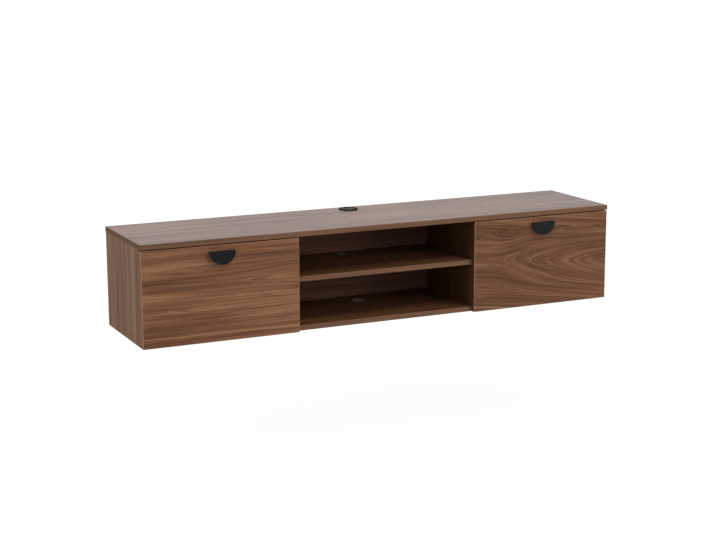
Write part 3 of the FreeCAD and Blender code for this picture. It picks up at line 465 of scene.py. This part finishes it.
def chipboard(name, tone=1.0):
    """Raw particle board, as cut, inside bores and along hidden edges."""
    graph = Graph(name)
    place = graph.place()
    chips = graph.add("ShaderNodeTexVoronoi",
                      {"Vector": graph.stretched(place, CHIPS), "Scale": 1.0}, output="Color")
    grit = graph.noise(graph.point(*place), scale=1400.0, detail=3.0, roughness=0.7)
    mixed = graph.weigh(grit, graph.add("ShaderNodeRGBToBW", {0: chips}), share=0.5)
    colour = graph.ramp(mixed, [(stop, shade(wood, tone)) for stop, wood in CHIPBOARD_STOPS])
    graph.bump(mixed, strength=0.6, distance=0.4 * MM)
    return graph.set(Base_Color=colour, Roughness=0.92)


def fibreboard():
    """The rough brown rear face of the thin back panel."""
    graph = Graph("fibreboard")
    place = graph.place()
    weave = graph.add("ShaderNodeTexVoronoi",
                      {"Vector": graph.stretched(place, FIBREBOARD_WEAVE), "Scale": 1.0})
    blotch = graph.noise(graph.point(*place), scale=9.0, detail=4.0)
    colour = graph.ramp(graph.weigh(weave, blotch, share=0.35), FIBREBOARD_STOPS)
    graph.bump(weave, strength=0.5, distance=0.3 * MM)
    return graph.set(Base_Color=colour, Roughness=0.85)


def beech():
    """The bare wood of the dowels, with its grain drawn upright."""
    graph = Graph("raw_beech")
    grain = graph.noise(graph.stretched(graph.place(), BEECH_GRAIN), detail=4.0)
    colour = graph.ramp(grain, BEECH_STOPS)
    graph.bump(grain, strength=0.3, distance=0.2 * MM)
    return graph.set(Base_Color=colour, Roughness=0.7)


def metal(name, colour, roughness, grain=(300.0, 300.0, 300.0), bump=0.1):
    """Plated steel or zinc: fine brushing or mottling, with cloudy smears in the gloss."""
    graph = Graph(name)
    place = graph.place()
    fine = graph.noise(graph.stretched(place, grain), detail=3.0, roughness=0.65)
    smear = graph.noise(graph.point(*place), scale=60.0, detail=3.0)
    tones = graph.shades(graph.weigh(fine, smear, share=0.6), colour, darkest=0.868,
                         palest=1.072)
    gloss = graph.vary(roughness, (fine, 0.18), (smear, 0.10))
    graph.bump(fine, strength=bump, distance=0.1 * MM)
    return graph.set(Base_Color=tones, Roughness=gloss, Metallic=1.0)


def coated(name, colour, roughness, pimple=1500.0, unevenness=0.25, metallic=0.0, specular=0.3):
    """Powder coat, moulded plastic or rubber: a fine pebbled skin, a little uneven in tone."""
    graph = Graph(name)
    place = graph.place()
    skin = graph.noise(graph.point(*place), scale=pimple, detail=2.0, roughness=0.6)
    cloud = graph.noise(graph.point(*place), scale=40.0, detail=3.0)
    tones = graph.shades(graph.weigh(skin, cloud, share=0.5), colour, darkest=1 - unevenness,
                         palest=1 + unevenness)
    graph.bump(skin, strength=0.25, distance=0.12 * MM)
    gloss = graph.vary(roughness, (skin, 0.16))
    return graph.set(Base_Color=tones, Roughness=gloss, Metallic=metallic,
                     Specular_IOR_Level=specular)


# Pieces made from the frame's own solids, with their edges rounded.

WELD = 0.002 * MM
BOARD_CORNER = 35.0
FITTING_CORNER = 40.0
SMOOTH_ANGLE = 35.0
NORMAL_WEIGHT = 90
RIM_ROUNDING = 0.4 * MM
RIM_TOLERANCE = 0.3 * MM
# The share of a face's normal along an axis: square on, or leaning that way as roundings do.
SQUARE_ON = 0.9
LEANING = 0.3

# A board's material slots. A board with more sorts of edge has more slots after these.
FACE, BAND, CORE = 0, 1, 2
# A board's sides, as an axis and a direction along it.
LEFT, RIGHT, FRONT, LOWER, UPPER = (X, -1), (X, 1), (Y, -1), (Z, -1), (Z, 1)

body_of = {member: body for body, members in frame["record"]["behaviour"]["bodies"].items()
           for member in members}


def loose_copy(node):
    """The node's mesh as one closed bmesh."""
    shape = bmesh.new()
    shape.from_mesh(frame["nodes"][node].data)
    bmesh.ops.remove_doubles(shape, verts=shape.verts, dist=WELD)
    return shape


def corner_edges(shape, angle):
    limit = math.radians(angle)
    return [edge for edge in shape.edges
            if len(edge.link_faces) == 2 and edge.calc_face_angle(0.0) > limit]


def round_off(shape, edges, rounding, segments, slot):
    bmesh.ops.bevel(shape, geom=edges, offset=rounding, offset_type="OFFSET", segments=segments,
                    profile=0.5, affect="EDGES", clamp_overlap=True, material=slot)


def finish_piece(shape, name, node, materials):
    """Turns a bmesh into the piece that stands for a node."""
    mesh = bpy.data.meshes.new(name)
    bmesh.ops.recalc_face_normals(shape, faces=shape.faces)
    shape.to_mesh(mesh)
    shape.free()
    for material in materials:
        mesh.materials.append(material)
    mesh.shade_smooth()
    mesh.set_sharp_from_angle(angle=math.radians(SMOOTH_ANGLE))
    piece = bpy.data.objects.new(name, mesh)
    bpy.context.collection.objects.link(piece)
    even = piece.modifiers.new("even_normals", "WEIGHTED_NORMAL")
    even.keep_sharp = True
    even.weight = NORMAL_WEIGHT
    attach(piece, body_of[node])
    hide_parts(node)
    return piece


def near(value, target, tolerance=0.02 * MM):
    return abs(value - target) < tolerance


def on_box_line(edge, low, high):
    """Whether an edge lies along one of the twelve lines of a box."""
    ends = [vertex.co for vertex in edge.verts]
    planes = 0
    for axis in (X, Y, Z):
        for side in (low[axis], high[axis]):
            if all(near(end[axis], side) for end in ends):
                planes += 1
    return planes >= 2


def rounds_hole(edge, hole):
    """Whether an edge lies on the rim of an upright hole."""
    centre_x, centre_y, radius = hole
    return all(near(math.hypot(vertex.co.x - centre_x, vertex.co.y - centre_y), radius,
                    RIM_TOLERANCE)
               for vertex in edge.verts)


def make_board(node, materials, bands, rounding, hole=None):
    """A board with rounded outer edges, and a rounded rim where it has an upright hole.

    materials fill the board's slots in their order. bands are the sides that carry an edge band;
    the other narrow sides and the bores show the core. hole is its centre's x and y, and its
    radius.
    """
    low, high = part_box(node)
    shape = loose_copy(node)
    thin = min((X, Y, Z), key=lambda axis: high[axis] - low[axis])
    for face in shape.faces:
        centre, normal = face.calc_center_median(), face.normal
        face.material_index = CORE
        for axis in (X, Y, Z):
            for side, place in ((-1, low[axis]), (1, high[axis])):
                if near(centre[axis], place) and normal[axis] * side > SQUARE_ON:
                    if axis == thin:
                        face.material_index = FACE
                    elif (axis, side) in bands:
                        face.material_index = BAND
    edges = [edge for edge in corner_edges(shape, BOARD_CORNER) if on_box_line(edge, low, high)]
    round_off(shape, edges, rounding, segments=3, slot=BAND)
    if hole:
        rims = [edge for edge in corner_edges(shape, BOARD_CORNER) if rounds_hole(edge, hole)]
        round_off(shape, rims, RIM_ROUNDING, segments=2, slot=CORE)
    bmesh.ops.dissolve_degenerate(shape, dist=WELD, edges=shape.edges)
    return finish_piece(shape, f"{node}_board", node, materials)


def sort_again(board, slot, choose):
    """Gives each face that has a slot the slot that choose finds for its normal."""
    for polygon in board.data.polygons:
        if polygon.material_index == slot:
            polygon.material_index = choose(polygon.normal)


def make_softened(node, material, rounding, segments=2):
    """A fitting with the small rounded edges of a pressed, cast or moulded part."""
    shape = loose_copy(node)
    round_off(shape, corner_edges(shape, FITTING_CORNER), rounding, segments, slot=FACE)
    finish_piece(shape, f"{node}_piece", node, [material])


def paint(node, material):
    """Gives a CAD node that shows as it is a finish of its own."""
    mesh = frame["nodes"][node].data
    mesh.materials.clear()
    mesh.materials.append(material)


# The scene.

bpy.context.scene.view_settings.view_transform = "Standard"
make_camera()
make_world()
make_floor()
for lamp in LAMPS:
    make_lamp(*lamp)


# The boards. Each grain gives the axes along it, across it and into the board.

GRAIN_X_FRONT = (X, Z, Y)
GRAIN_X_FLAT = (X, Y, Z)
GRAIN_Y_END = (Y, Z, X)
GRAIN_Z_SIDE = (Z, Y, X)
GRAIN_Z_FRONT = (Z, X, Y)

# The boards round the open bay are drawn a little redder: painted shade of the bay's dim inside.
BAY_SHADE_TINT = (1.0, 0.86, 0.74)

GROMMET_BORE = (0.0, -52 * MM, 30 * MM)
FLOOR_CABLE_HOLE = (19 * MM, -100 * MM, 25 * MM)
SHELF_CABLE_HOLE = (-30 * MM, -78 * MM, 25 * MM)

raw_core = chipboard("chipboard")
dark_core = chipboard("chipboard_sealed", tone=0.17)
raw_back = fibreboard()

band_along_x = edge_band("edge_band_along_x", GRAIN_X_FRONT, seed=3.0,
                         colour=(0.150, 0.076, 0.044))
# The upright band on the side panels' and dividers' front edges is drawn dark: painted shade for
# the dark line beside the doors.
band_upright_shaded = edge_band("edge_band_upright_painted_shade", GRAIN_Z_FRONT, seed=5.0,
                         colour=(0.075, 0.036, 0.020))
# The doors' front edge roundings are a pale edge band, drawn paler still as a painted highlight
# along the edges.
door_band_painted_highlight = edge_band("door_band_painted_highlight", GRAIN_Z_FRONT, seed=6.0, colour=(0.33, 0.205, 0.138))
# The doors' outer sides are drawn darker than their front band: painted shade for the dark line
# at the gap by the side panels.
door_side_band_shaded = edge_band("door_side_band_shaded", GRAIN_Z_SIDE, seed=6.4,
                           colour=(0.200, 0.082, 0.036))
# The doors' top and bottom sides, their rear and level roundings, and the top's lower front
# rounding are drawn near black and red: painted shade for the dark gap line under the top.
door_rail_band_painted_shade = edge_band("door_rail_band_painted_shade", GRAIN_X_FRONT, seed=7.0,
                           colour=(0.100, 0.026, 0.008))
top_end_band = edge_band("top_end_band", GRAIN_Y_END, seed=9.0, colour=(0.088, 0.040, 0.022),
                         specular=0.03)
# The doors' sides that face the bay are drawn dark: painted shade of the dim bay.
door_bay_band_painted_shade = edge_band("door_bay_band_painted_shade", GRAIN_Z_SIDE, seed=8.0,
                          colour=(0.078, 0.034, 0.017))

left_grain = walnut(
    "walnut_left_door", GRAIN_X_FRONT, seed=2.6, tone=1.24, contrast=1.15, waver=0.42,
    tint=(1.03, 0.985, 0.95), heart=(-0.34, 0.207), taper=0.06, length=0.20, spread=0.05,
    rings=((0.016, 0.0022, 0.18), (0.103, 0.0016, -0.16), (0.0105, 0.002, -0.08)),
    knots=((-0.548, 0.321, 0.030, 0.010, -0.008), (-0.86, 0.070, 0.030, 0.012, 0.010)))
right_grain = walnut(
    "walnut_right_door", GRAIN_X_FRONT, seed=9.4, tone=0.88, contrast=1.25, waver=0.28,
    tint=(1.03, 0.97, 0.93), heart=(0.90, 0.142), taper=0.18, length=0.43, spread=0.085,
    blunt=0.016, tilt=-0.11,
    rings=((0.093, 0.0023, 0.32), (0.0605, 0.0020, 0.32), (0.0466, 0.0018, 0.24),
           (0.0308, 0.0020, 0.32)),
    knots=((0.478, 0.272, 0.055, 0.016, 0.014), (0.708, 0.284, 0.032, 0.011, -0.010),
           (0.857, 0.280, 0.030, 0.011, -0.010)))

TOP_UNDER_EDGE_SHADE, TOP_END = 3, 4


def top_slot(normal):
    if normal.z < -LEANING:
        return TOP_UNDER_EDGE_SHADE
    return TOP_END if abs(normal.x) > SQUARE_ON else BAND


# The top's bluish tint is a painted sheen: the cool reflection that its face shows at low angles.
top_grain_with_sheen = walnut("walnut_top_painted_sheen", GRAIN_X_FLAT, seed=4.2, tone=0.93, contrast=1.8, waver=0.4,
                   tint=(1.0, 0.96, 1.18), roughness=0.28, specular=0.12)
top = make_board("top_panel", [top_grain_with_sheen, band_along_x, raw_core, door_rail_band_painted_shade, top_end_band],
                 (FRONT, LEFT, RIGHT), rounding=0.8 * MM, hole=GROMMET_BORE)
sort_again(top, BAND, top_slot)

# The shelf and the bottom take a low tone and the bay tint: painted shade of the bay's dim
# inside.
for node, name, seed, rounding, hole in (
        ("bottom_panel", "walnut_bottom", 8.7, 0.6 * MM, FLOOR_CABLE_HOLE),
        ("bay_shelf", "walnut_shelf", 1.4, 0.7 * MM, SHELF_CABLE_HOLE)):
    grain = walnut(name, GRAIN_X_FLAT, seed, tone=0.57, waver=0.5, tint=BAY_SHADE_TINT, specular=0.03)
    make_board(node, [grain, band_along_x, dark_core], (FRONT,), rounding, hole)

# Each divider below takes a low tone and the bay tint: painted shade of the bay's dim inside.
for side, name in SIDES:
    panel, divider = f"{name}_side_panel", f"{name}_divider"
    panel_grain = walnut(f"walnut_{panel}", GRAIN_Z_SIDE, seed=12.0 + side, tone=0.8,
                         contrast=1.3, waver=0.5, roughness=0.5, specular=0.05)
    make_board(panel, [panel_grain, band_upright_shaded, raw_core], (FRONT,), rounding=0.6 * MM)
    divider_grain_shaded = walnut(f"walnut_{divider}", GRAIN_Z_SIDE, seed=16.0 + side, tone=0.52,
                           contrast=0.8, waver=0.5, tint=BAY_SHADE_TINT, specular=0.03)
    make_board(divider, [divider_grain_shaded, band_upright_shaded, raw_core], (FRONT,), rounding=0.6 * MM)

DOOR_SHADED_EDGE, DOOR_BAY_SIDE_SHADE, DOOR_OUTER_SIDE_SHADE = 3, 4, 5


def door_slot(normal, side):
    if abs(normal.z) > LEANING or normal.y > LEANING:
        return DOOR_SHADED_EDGE
    if abs(normal.x) > SQUARE_ON:
        return DOOR_BAY_SIDE_SHADE if normal.x * side < 0 else DOOR_OUTER_SIDE_SHADE
    return BAND


for (side, name), grain in zip(SIDES, (left_grain, right_grain)):
    door = make_board(f"{name}_flap_door",
                      [grain, door_band_painted_highlight, raw_core, door_rail_band_painted_shade, door_bay_band_painted_shade,
                       door_side_band_shaded],
                      (LEFT, RIGHT, LOWER, UPPER), rounding=1.5 * MM)
    sort_again(door, BAND, lambda normal: door_slot(normal, side))

BACK_REAR = 3
back_grain = walnut("walnut_back", GRAIN_X_FRONT, seed=6.6, tone=0.78, contrast=0.6, waver=0.4,
                    tint=(1.0, 0.95, 1.22), specular=0.03)
back = make_board("back_panel", [back_grain, raw_core, raw_core, raw_back], (),
                  rounding=0.2 * MM)
sort_again(back, FACE, lambda normal: BACK_REAR if normal.y > SQUARE_ON else FACE)

rail_grain = walnut("walnut_rail", GRAIN_X_FRONT, seed=7.9, waver=0.5)
for rail in ("upper_hanging_rail", "lower_hanging_rail"):
    make_board(rail, [rail_grain, band_along_x, raw_core], (UPPER, LOWER), rounding=0.4 * MM)


# The fittings.

black_coat = coated("black_powder_coat", (0.0060, 0.0070, 0.0085), roughness=0.45,
                    pimple=1100.0, specular=0.09)
black_mould = coated("black_plastic", (0.006, 0.005, 0.005), roughness=0.60, specular=0.02)
cap_mould = coated("cap_plastic", (0.018, 0.015, 0.016), roughness=0.45, specular=0.07)
catch_mould = coated("catch_plastic", (0.085, 0.048, 0.028), roughness=0.48)
clear_rubber = coated("bumper_rubber", (0.62, 0.62, 0.58), roughness=0.35, unevenness=0.06)
ferrite = coated("ferrite", (0.030, 0.030, 0.033), roughness=0.6, pimple=2500.0, metallic=0.6)
nickel = metal("nickel_steel", (0.62, 0.61, 0.58), roughness=0.42, grain=(900.0, 60.0, 60.0))
zinc = metal("zinc_screw", (0.60, 0.60, 0.60), roughness=0.36)
cast_zinc = metal("cast_zinc", (0.50, 0.50, 0.51), roughness=0.50, grain=(700.0, 700.0, 700.0),
                  bump=0.3)

# Each fitting's finish, and the rounding of its edges in millimetres.
DOOR_FITTINGS = (
    ("hinge_bases", nickel, 0.35), ("hinge_leaves", nickel, 0.3),
    ("outer_stay_arm", nickel, 0.3), ("inner_stay_arm", nickel, 0.3),
    ("stay_studs", nickel, 0.35), ("stay_brackets", nickel, 0.3),
    ("strike_plate", nickel, 0.3), ("stay_rivets", zinc, 0.3), ("hinge_pins", zinc, 0.3),
    ("handle_screws", zinc, 0.3), ("door_screws", zinc, 0.3),
)
CARCASS_FITTINGS = (
    ("catch_housings", catch_mould, 0.6), ("door_bumpers", clear_rubber, 0.6),
    ("shelf_pins", nickel, 0.3), ("cam_locks", cast_zinc, 0.25),
    ("carcass_screws", zinc, 0.3), ("back_panel_screws", zinc, 0.3),
)

make_softened("grommet_liner", black_mould, rounding=0.5 * MM)
make_softened("grommet_cap", cap_mould, rounding=0.4 * MM)
for _, name in SIDES:
    make_softened(f"{name}_handle", black_coat, rounding=0.5 * MM, segments=3)
    for part, finish, rounding in DOOR_FITTINGS:
        make_softened(f"{name}_{part}", finish, rounding * MM)
for node, finish, rounding in CARCASS_FITTINGS:
    make_softened(node, finish, rounding * MM)
paint("cam_bolts", zinc)
paint("catch_magnets", ferrite)
paint("wood_dowels", beech())
